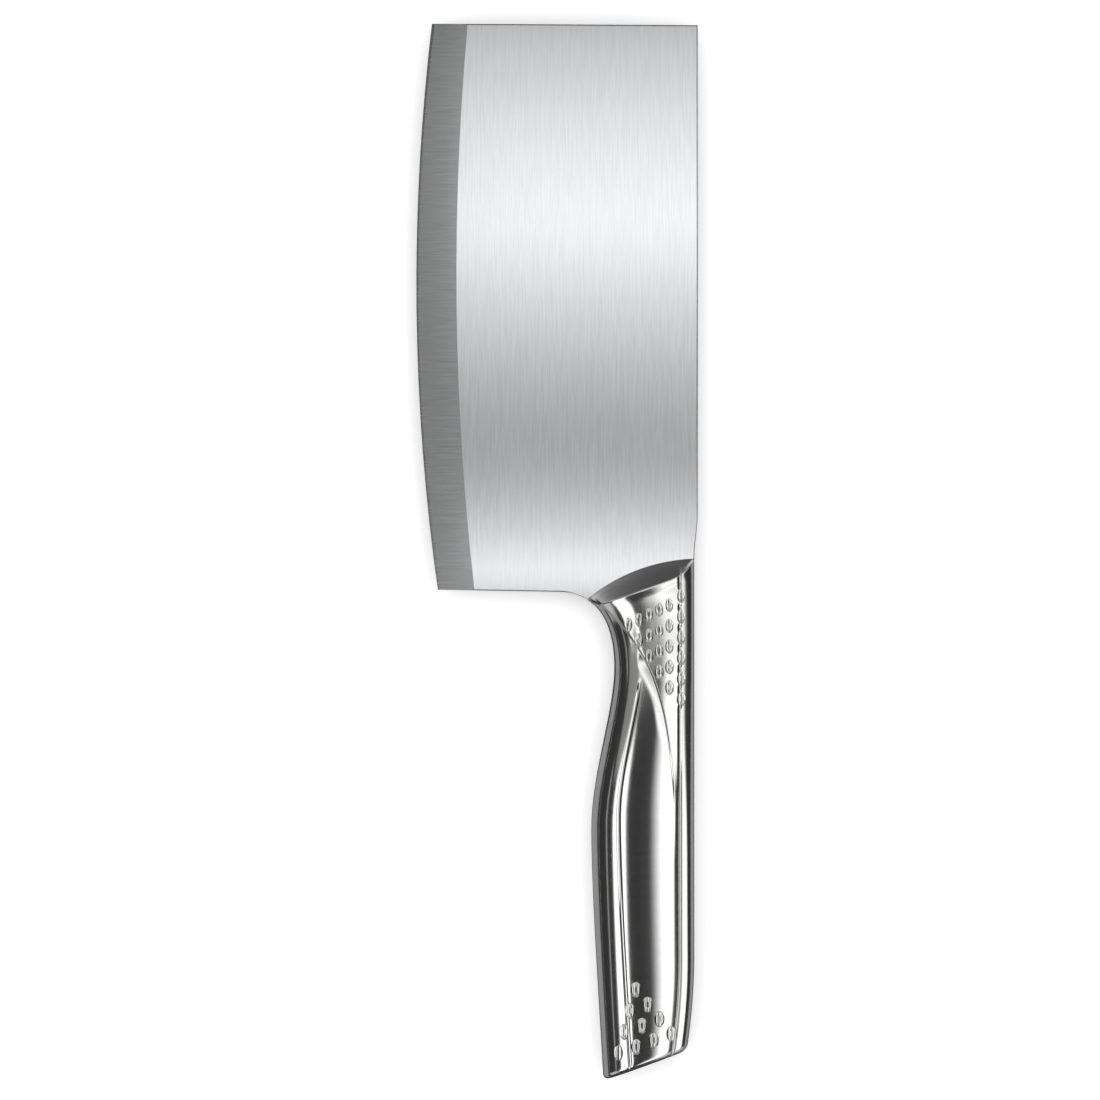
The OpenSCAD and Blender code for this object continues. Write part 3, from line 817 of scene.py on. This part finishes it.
slot_x = -SPINE_INSET - NECK_W / 2
slot_w, slot_z = TANG_W / 2 + FIT, HALF_PLATE - TANG_STEP + FIT
slot_ends = [[(slot_x + i * slot_w, y, j * slot_z) for i, j in ((-1, -1), (1, -1), (1, 1), (-1, 1))]
             for y in (-TANG_LEN - FIT, 2 * BOLSTER_LEAD)]
slot_tool = loft("slot_tool", np.array(slot_ends))

# %% The whole bolster
def finish_with(made, *finishes):
    made.data.materials.clear()
    for finish in finishes:
        made.data.materials.append(finish)


for tool, operation in ((spigot, "UNION"), (slot_tool, "DIFFERENCE")):
    step = bolster_front.modifiers.new(operation.lower(), "BOOLEAN")
    step.object, step.operation, step.solver = tool, operation, "EXACT"
bolster = keep_result(bolster_front, "bolster_polished")
for scrap in (bolster_front, spigot, slot_tool):
    bpy.data.objects.remove(scrap)
close_mesh(bolster, MERGE)
shade(bolster, SHARP_ANGLE)
finish_with(bolster, handle_steel)

# %% [markdown]
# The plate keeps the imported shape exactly: flat sides, two wide ground bevels and two fine
# ones at the edge. A copy of its mesh is merged, and the triangles of each flat are joined
# into one face. What a maker adds on the bench is the easing of the square edges round the
# spine, toe and heel with a stone, and a Bevel modifier on just those edges does the same.

# %% The ground plate
EASED_W, EASED_STEPS = 0.32, 3
FLAT_ANGLE, SQUARE_ANGLES = 0.05, (70, 110)
CLEAR_BY, ON_FLAT = 0.3, 0.01

plate = add_object("blade_ground", frame["nodes"]["blade"].data.copy())
work = bmesh.new()
work.from_mesh(plate.data)
bmesh.ops.remove_doubles(work, verts=work.verts, dist=MERGE)
bmesh.ops.dissolve_limit(
    work, angle_limit=math.radians(FLAT_ANGLE), verts=work.verts, edges=work.edges)
work.normal_update()
weights = work.edges.layers.float.new("bevel_weight_edge")
eased = 0
for edge in work.edges:
    if len(edge.link_faces) != 2:
        continue
    angle = math.degrees(edge.calc_face_angle())
    mid = np.array((edge.verts[0].co + edge.verts[1].co) / 2) / MM - ORIGIN
    clear_of_bolster = math.hypot(mid[0] - BOLSTER_X, mid[1] + BOLSTER_Y) > BOLSTER_R + CLEAR_BY
    flat_edge = abs(abs(mid[2]) - HALF_PLATE) < ON_FLAT
    if clear_of_bolster and flat_edge and SQUARE_ANGLES[0] < angle < SQUARE_ANGLES[1]:
        edge[weights] = 1.0
        eased += 1
work.to_mesh(plate.data)
work.free()
bevel = plate.modifiers.new("eased_edges", "BEVEL")
bevel.limit_method = "WEIGHT"
bevel.width, bevel.segments = EASED_W * MM, EASED_STEPS
bevel.use_clamp_overlap = False
print(eased, "edges eased on the plate")

# %% [markdown]
# Brushed steel gets its look from thousands of parallel scratches. They do two things: they
# spread a reflection sideways, across the scratches, and they leave fine light and dark
# hairlines. The spreading is the shader's anisotropy. The hairlines are noise stretched along
# the brushing, and because every finish on the knife needs them, they are one node group with
# the stretching as its input.

# %% The brushed grain, shared by every finish
FINE_NOISE, BROAD_NOISE = (1.0, 3), (0.23, 2)


def stretched_noise(group, given, factor, detail):
    """Noise on the group's coordinates, multiplied by its stretch and by a factor."""
    grow = new_node(group, "ShaderNodeVectorMath", operation="MULTIPLY")
    noise = new_node(group, "ShaderNodeTexNoise", {"Scale": factor, "Detail": detail})
    wire(group, ((given, "Vector", grow, 0), (given, "Stretch", grow, 1),
                 (grow, "Vector", noise, "Vector")))
    return noise


grain = new_group(
    "brushed_grain", "ShaderNodeTree",
    [("Vector", "Vector"), ("Stretch", "Vector"), ("Broad share", "Float")],
    [("Hairlines", "Float"), ("Fine", "Float")],
)
g_in, g_out = grain.nodes.new("NodeGroupInput"), grain.nodes.new("NodeGroupOutput")
fine = stretched_noise(grain, g_in, *FINE_NOISE)
broad = stretched_noise(grain, g_in, *BROAD_NOISE)
blend = grain.nodes.new("ShaderNodeMix")
wire(grain, (
    (g_in, "Broad share", blend, "Factor"), (fine, "Fac", blend, "A"), (broad, "Fac", blend, "B"),
    (blend, "Result", g_out, "Hairlines"), (fine, "Fac", g_out, "Fine"),
))
print("brushed_grain:", len(grain.nodes), "nodes")

# %% [markdown]
# Each finish is then the same short recipe with its own values: a steel colour that the
# hairlines lighten and darken a little, a roughness that they vary, and a very shallow bump.
# The flats are brushed along the blade and the ground bevels across it, which is why the two
# reflect so differently. The bevels are also given a darker steel colour than the flats, which
# is painted shade for their tilted faces. Cycles spreads a highlight along the tangent, so the
# tangent is set square to the brushing.

# %% A recipe for brushed steel
NOISE_ENDS = (0.3, 0.7)
SCRATCH_DEPTH = 0.00001
TINT_DARK, TINT_LIGHT, TINT_RESULT = 6, 7, 2


def clear_tree(material):
    """The material's node tree, emptied."""
    material.use_nodes = True
    material.node_tree.nodes.clear()
    return material.node_tree


def ranged(tree, low, high, to_low=0.0, to_high=1.0, **settings):
    """A Map Range node that turns one pair of ends into another."""
    ends = {"From Min": low, "From Max": high, "To Min": to_low, "To Max": to_high}
    return new_node(tree, "ShaderNodeMapRange", ends, **settings)


def brushed_steel(material, colour, roughness, stretch, anisotropy=0.0, tangent=None,
                  contrast=0.06, rough_swing=0.05, bump=0.2, broad_share=0.4):
    tree = clear_tree(material)
    out, place = tree.nodes.new("ShaderNodeOutputMaterial"), tree.nodes.new("ShaderNodeTexCoord")
    steel = new_node(tree, "ShaderNodeBsdfPrincipled", {"Metallic": 1.0, "Anisotropic": anisotropy})
    lines = new_node(tree, "ShaderNodeGroup", {"Stretch": stretch, "Broad share": broad_share},
                     node_tree=grain)
    tint = new_node(tree, "ShaderNodeMix", {
        TINT_DARK: (*[c * (1 - contrast) for c in colour], 1),
        TINT_LIGHT: (*[min(1, c * (1 + contrast)) for c in colour], 1)}, data_type="RGBA")
    spread = ranged(tree, *NOISE_ENDS)
    rough = ranged(tree, *NOISE_ENDS, roughness - rough_swing, roughness + rough_swing)
    dent = new_node(tree, "ShaderNodeBump", {"Strength": bump, "Distance": SCRATCH_DEPTH})
    wire(tree, (
        (place, "Object", lines, "Vector"),
        (lines, "Hairlines", spread, "Value"), (spread, "Result", tint, "Factor"),
        (tint, TINT_RESULT, steel, "Base Color"),
        (lines, "Fine", rough, "Value"), (rough, "Result", steel, "Roughness"),
        (lines, "Hairlines", dent, "Height"), (dent, "Normal", steel, "Normal"),
        (steel, "BSDF", out, "Surface"),
    ))
    if tangent:
        across = new_node(tree, "ShaderNodeCombineXYZ", dict(zip("XYZ", tangent)))
        wire(tree, [(across, "Vector", steel, "Tangent")])
    return material


# %% The four finishes
LENGTHWISE = (3200, 110, 3200)
CROSSWISE = (110, 5200, 110)
flat_steel = brushed_steel(
    bpy.data.materials.new("blade_flat_brushed"), colour=(0.66, 0.665, 0.675), roughness=0.19,
    stretch=LENGTHWISE, anisotropy=0.5, tangent=(1, 0, 0), contrast=0.06, rough_swing=0.01,
    bump=0.03, broad_share=0.0)
# The bevels' colour is darker than the flats': painted shade, standing in for the dimmer reflection
# of their tilted faces.
bevel_steel_painted_shade = brushed_steel(
    bpy.data.materials.new("blade_bevel_ground"), colour=(0.52, 0.525, 0.53), roughness=0.2,
    stretch=CROSSWISE, anisotropy=0.4, tangent=(0, 1, 0), contrast=0.11, rough_swing=0.01,
    bump=0.03, broad_share=0.05)
edge_steel = brushed_steel(
    bpy.data.materials.new("cutting_edge_honed"), colour=(0.6, 0.605, 0.61), roughness=0.25,
    stretch=CROSSWISE)
brushed_steel(
    handle_steel, colour=(0.62, 0.615, 0.61), roughness=0.125, stretch=CROSSWISE, contrast=0.05,
    rough_swing=0.015, bump=0.06)
print("finishes:", [m.name for m in (flat_steel, bevel_steel_painted_shade, edge_steel, handle_steel)])

# %% Each face of the plate gets the finish that its direction calls for
FLAT, GROUND, HONED = 0, 1, 2
HONED_TILT, GROUND_TILT, FLAT_TILT = 0.5, 0.96, 0.9999
PLATE_SHARP = 3

finish_with(plate, flat_steel, bevel_steel_painted_shade, edge_steel)
for side in plate.data.polygons:
    upright = abs(side.normal.z)
    if HONED_TILT < upright < GROUND_TILT:
        side.material_index = HONED
    else:
        side.material_index = GROUND if GROUND_TILT <= upright < FLAT_TILT else FLAT
shade(plate, PLATE_SHARP)
print("faces per finish:", np.bincount([f.material_index for f in plate.data.polygons]).tolist())

# %% [markdown]
# The sand never shows, but it is a piece like the others. Packed grains differ in colour and
# stand a little proud of each other, so its colour and bump both come from the same cells.

# %% Packed sand
SAND_ROUGH, GRAIN_SCALE, GRAIN_RISE = 0.95, 2600, 0.0002
SAND_SHADES = ((0.30, 0.22, 0.13, 1), (0.62, 0.53, 0.38, 1))

sand = bpy.data.materials.new("packed_sand")
sand.use_nodes = True
tree = sand.node_tree
body = tree.nodes["Principled BSDF"]
body.inputs["Roughness"].default_value = SAND_ROUGH
spot, shades = tree.nodes.new("ShaderNodeTexCoord"), tree.nodes.new("ShaderNodeValToRGB")
for element, colour in zip(shades.color_ramp.elements, SAND_SHADES):
    element.color = colour
grains = new_node(tree, "ShaderNodeTexVoronoi", {"Scale": GRAIN_SCALE})
lumps = new_node(tree, "ShaderNodeBump", {"Distance": GRAIN_RISE})
wire(tree, (
    (spot, "Object", grains, "Vector"),
    (grains, "Color", shades, "Fac"), (shades, "Color", body, "Base Color"),
    (grains, "Distance", lumps, "Height"), (lumps, "Normal", body, "Normal"),
))
sand_node = frame["nodes"]["sand_fill"]
finish_with(sand_node, sand)
print("sand:", len(sand_node.data.polygons), "faces")

# %% [markdown]
# Every finished piece rides on the knife's one body, and the imported piece that it stands
# for is hidden.

# %% Put the finished pieces on the body, and hide the imported ones
for piece, node, slot in (
    (plate, "blade", "blade_steel"), (bolster, "bolster", "handle_steel"),
    (left, "left_shell", "handle_steel"), (right, "right_shell", "handle_steel"),
):
    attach(piece, "root")
    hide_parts(node)

# %% [markdown]
# Polished steel is a mirror, so lighting it means deciding what it sees. A dark tent stands
# round the table, so that the steel has something dark to show. In it hang cards that glow:
# a graduated one low over the blade, a dim one beside it for the ground bevel, and long strips
# over the handle. All of them are seen by the steel alone, never by the camera or the floor.
# Where the glow changes along a card, a colour ramp says how it rises and falls.

# %% Stage pieces that glow, for the steel alone
for_steel = []


def plain_emission(name, strength):
    material = bpy.data.materials.new(name)
    tree = clear_tree(material)
    out = tree.nodes.new("ShaderNodeOutputMaterial")
    glow = new_node(tree, "ShaderNodeEmission", {"Strength": strength})
    wire(tree, [(glow, "Emission", out, "Surface")])
    return material


def graduated_emission(name, axis, low, high, stops):
    """Emission whose strength runs along one axis of the card, by (place, strength) stops."""
    top = max(level for _, level in stops)
    material = plain_emission(name, top)
    tree = material.node_tree
    where, split = tree.nodes.new("ShaderNodeTexCoord"), tree.nodes.new("ShaderNodeSeparateXYZ")
    share, ramp = ranged(tree, low, high), tree.nodes.new("ShaderNodeValToRGB")
    while len(ramp.color_ramp.elements) < len(stops):
        ramp.color_ramp.elements.new(0.5)
    for element, (place, level) in zip(ramp.color_ramp.elements, stops):
        element.position = (place - low) / (high - low)
        element.color = (level / top, level / top, level / top, 1)
    wire(tree, (
        (where, "Object", split, "Vector"), (split, axis, share, "Value"),
        (share, "Result", ramp, "Fac"), (ramp, "Color", tree.nodes["Emission"], "Color"),
    ))
    return material


def for_steel_only(made, material):
    made.data.materials.append(material)
    for kind in ("camera", "diffuse", "shadow", "transmission"):
        setattr(made, "visible_" + kind, False)
    for_steel.append(made.name)


def sheet(name, corners):
    """One flat quad, drawn in place, so that a ramp on it can be given in metres."""
    mesh = bpy.data.meshes.new(name)
    mesh.from_pydata(corners, [], [(0, 1, 2, 3)])
    return add_object(name, mesh)


def card(name, x_range, y_range, z, material):
    """A level sheet that the steel alone sees."""
    (x0, x1), (y0, y1) = x_range, y_range
    for_steel_only(sheet(name, [(x0, y0, z), (x0, y1, z), (x1, y1, z), (x1, y0, z)]), material)


# %% The cards over the blade
BLADE_CARD_Z = 0.20
CARD_LEFT, CARD_RIGHT = -0.052, 0.17
BLADE_GLOW = [
    (-0.017, 0.0), (-0.0145, 0.8), (-0.011, 2.35), (-0.006, 1.65), (0.000, 1.22), (0.006, 0.94),
    (0.012, 0.80), (0.018, 0.65), (0.0245, 0.55), (0.0295, 0.50), (0.035, 0.51), (0.041, 0.535),
    (0.058, 0.75), (0.075, 1.00), (0.0877, 1.21), (0.100, 1.495), (0.118, 1.315), (0.135, 1.16),
    (0.146, 0.97), (0.153, 0.93), (0.172, 0.75),
]
CARD_FRONT, CARD_BACK = BLADE_GLOW[0][0], BLADE_GLOW[-1][0]
BEVEL_CARD_FAR, BEVEL_CARD_Y, BEVEL_GLOW = -0.20, (-0.035, 0.19), 0.33

silk = graduated_emission("graduated_silk", "Y", CARD_FRONT, CARD_BACK, BLADE_GLOW)
card("blade_card", (CARD_LEFT, CARD_RIGHT), (CARD_FRONT, CARD_BACK), BLADE_CARD_Z, silk)
card("bevel_card", (BEVEL_CARD_FAR, CARD_LEFT), BEVEL_CARD_Y, BLADE_CARD_Z,
     plain_emission("grey_card", BEVEL_GLOW))
print("over the blade:", for_steel)

# %% [markdown]
# The shells are curved, so a strip over the handle shows as a bright band along it. The right
# strip lights the side towards the spine and fades out at both edges, and the left one lights
# the side towards the belly. The gap between them leaves the dark band along the crown, and a
# thin strip far out draws the fine line near the belly.

# %% The strips over the handle
STRIP_Z, STRIP_BACK, STRIP_FRONT, LEFT_FRONT = 0.45, -0.65, 0.06, 0.0
RIGHT_STRIP, LEFT_STRIP, THIN_STRIP = (0.056, 0.46), (-0.357, -0.105), (-0.73, -0.65)
RIGHT_GLOW = [(0.056, 0.0), (0.142, 1.75), (0.35, 1.75), (0.44, 0.5), (0.46, 0.0)]
LEFT_GLOW, THIN_GLOW = 1.9, 0.6

fading = graduated_emission("fading_strip", "X", *RIGHT_STRIP, RIGHT_GLOW)
card("right_strip", RIGHT_STRIP, (STRIP_BACK, STRIP_FRONT), STRIP_Z, fading)
card("left_strip", LEFT_STRIP, (STRIP_BACK, LEFT_FRONT), STRIP_Z,
     plain_emission("full_strip", LEFT_GLOW))
card("thin_strip", THIN_STRIP, (STRIP_BACK, STRIP_FRONT), STRIP_Z,
     plain_emission("thin_strip", THIN_GLOW))
print("over the handle:", for_steel[2:])

# %% [markdown]
# The tent is a drum of dark cloth with a lid. Seen across a corner of the table, a blade that
# mirrors nothing but that dark turns black, so the cloth glows on its four diagonals, where
# x times y is largest, and the glow fades towards the lid.

# %% The dark tent
TENT_R, TENT_H, TENT_SIDES = 1.6, 1.6, 48
TENT_DARK, TENT_GLOW, DIAGONAL_ENDS = 0.045, 0.75, (0.3, 0.46)
GLOW_TOP, TOP_SHARE = (0.8, 1.3), 0.1

work = bmesh.new()
bmesh.ops.create_cone(
    work, cap_ends=False, segments=TENT_SIDES, radius1=TENT_R, radius2=TENT_R, depth=TENT_H)
bmesh.ops.translate(work, verts=work.verts, vec=(0, 0, TENT_H / 2))
bmesh.ops.create_circle(work, cap_ends=True, segments=TENT_SIDES, radius=TENT_R,
                        matrix=Matrix.Translation((0, 0, TENT_H)))
tent_mesh = bpy.data.meshes.new("dark_tent")
work.to_mesh(tent_mesh)
work.free()
tent_cloth = plain_emission("tent_cloth", TENT_DARK)
tree = tent_cloth.node_tree
where, parts = tree.nodes.new("ShaderNodeTexCoord"), tree.nodes.new("ShaderNodeSeparateXYZ")
product, size = math_node(tree, "MULTIPLY"), math_node(tree, "ABSOLUTE")
both, least = math_node(tree, "MULTIPLY"), math_node(tree, "MAXIMUM", {1: TENT_DARK})
rising = ranged(tree, *[share * TENT_R ** 2 for share in DIAGONAL_ENDS], TENT_DARK, TENT_GLOW,
                interpolation_type="SMOOTHSTEP")
falling = ranged(tree, *GLOW_TOP, 1, TOP_SHARE, interpolation_type="SMOOTHSTEP")
wire(tree, (
    (where, "Object", parts, "Vector"), (parts, "X", product, 0), (parts, "Y", product, 1),
    (product, "Value", size, 0), (size, "Value", rising, "Value"), (parts, "Z", falling, "Value"),
    (rising, "Result", both, 0), (falling, "Result", both, 1),
    (both, "Value", least, 0), (least, "Value", tree.nodes["Emission"], "Strength"),
))
for_steel_only(add_object("dark_tent", tent_mesh), tent_cloth)
print("tent:", len(tent_mesh.polygons), "faces")

# %% [markdown]
# The bolster's face leans towards the toe, so it mirrors a wall that stands beyond it and is
# brighter on the belly's side. The low sides of the handle mirror what lies on the table: a
# dark cloth, with a grey mat on each side.

# %% The far wall, the dark cloth and the grey mats
WALL_Y, WALL_HALF, WALL_TOP = 1.0, 0.9, 1.0
WALL_GLOW = [(-0.9, 0.7), (-0.6, 0.3), (-0.3, 0.15), (0.9, 0.1)]
CLOTH_HALF, CLOTH_Z, CLOTH_GLOW = 0.9, 0.0001, 0.06
MAT_GAP, MAT_W, MAT_Z, MAT_GLOW = 0.004, 0.065, 0.0002, 0.4
MAT_BACK, MAT_FRONT = -0.18, 0.02

wall = sheet("far_wall", [(-WALL_HALF, WALL_Y, 0), (WALL_HALF, WALL_Y, 0),
                          (WALL_HALF, WALL_Y, WALL_TOP), (-WALL_HALF, WALL_Y, WALL_TOP)])
for_steel_only(wall, graduated_emission("wall_glow", "X", -WALL_HALF, WALL_HALF, WALL_GLOW))
card("dark_ground", (-CLOTH_HALF, CLOTH_HALF), (-CLOTH_HALF, CLOTH_HALF), CLOTH_Z,
     plain_emission("dark_cloth", CLOTH_GLOW))
grey_mat = plain_emission("grey_mat", MAT_GLOW)
for name, edge, away in (("mat_by_belly", shell_low.x, -1), ("mat_by_spine", blade_high.x, 1)):
    near, far = sorted((edge + away * MAT_GAP, edge + away * MAT_W))
    card(name, (near, far), (MAT_BACK, away * MAT_FRONT), MAT_Z, grey_mat)
print("seen by the steel alone:", for_steel)

# %% [markdown]
# The floor is pale paper. It is lit by an even, bright air and a broad lamp overhead, which
# together render a colour about as it is written. A little glow in the paper, for the camera
# and for mirrors, takes it the last step to white and leaves the soft shadow.

# %% The paper floor
FLOOR_HALF = 3.0
PAPER, PAPER_GLOW = 0.88, 0.25

studio_floor = sheet("studio_floor", [
    (x * FLOOR_HALF, y * FLOOR_HALF, 0) for x, y in ((-1, -1), (1, -1), (1, 1), (-1, 1))])
paper = bpy.data.materials.new("white_paper")
tree = clear_tree(paper)
out, path, glow, total = (
    tree.nodes.new("ShaderNode" + kind)
    for kind in ("OutputMaterial", "LightPath", "Emission", "AddShader"))
matt = new_node(tree, "ShaderNodeBsdfDiffuse", {"Color": (PAPER, PAPER, PAPER, 1)})
seen, mirrored = math_node(tree, "MAXIMUM"), math_node(tree, "MAXIMUM")
amount = math_node(tree, "MULTIPLY", {1: PAPER_GLOW})
wire(tree, (
    (path, "Is Glossy Ray", mirrored, 0), (path, "Is Transmission Ray", mirrored, 1),
    (path, "Is Camera Ray", seen, 0), (mirrored, "Value", seen, 1),
    (seen, "Value", amount, 0), (amount, "Value", glow, "Strength"),
    (matt, "BSDF", total, 0), (glow, "Emission", total, 1), (total, "Shader", out, "Surface"),
))
studio_floor.data.materials.append(paper)
print("paper", PAPER, "with a glow of", PAPER_GLOW)

# %% The air and the lamp overhead
AIR = 0.85
LAMP_SIZE, LAMP_WATTS, LAMP_Z = 1.6, 8, 1.4

world = bpy.data.worlds.new("studio_air")
bpy.context.scene.world = world
world.use_nodes = True
air = world.node_tree.nodes["Background"]
air.inputs["Color"].default_value = (1, 1, 1, 1)
air.inputs["Strength"].default_value = AIR
fill = bpy.data.lights.new("overhead_fill", "AREA")
fill.shape, fill.size, fill.energy = "DISK", LAMP_SIZE, LAMP_WATTS
lamp = add_object("overhead_fill", fill)
lamp.location = (0, 0, LAMP_Z)
lamp.visible_glossy = lamp.visible_camera = False
print("air", AIR, "lamp", LAMP_WATTS, "W")

# %% [markdown]
# The camera looks straight down, with the knife's toe at the top of the picture. It hangs high
# with a long lens, because from close by the thick handle would look larger than the blade.

# %% The camera
PICTURE_MM, PICTURE_CENTRE = 320.5, (-2.04, 0.29)
CAMERA_HEIGHT, SENSOR_W = 3.0, 36

camera_data = bpy.data.cameras.new("overhead_camera")
camera_data.sensor_width = SENSOR_W
camera_data.lens = SENSOR_W * CAMERA_HEIGHT / (PICTURE_MM * MM)
camera = add_object("overhead_camera", camera_data)
camera.location = (*[v * MM for v in PICTURE_CENTRE], blade_high.z + CAMERA_HEIGHT)
bpy.context.scene.camera = camera
bpy.context.scene.view_settings.view_transform = "Standard"
print("lens, mm:", round(camera_data.lens, 1))
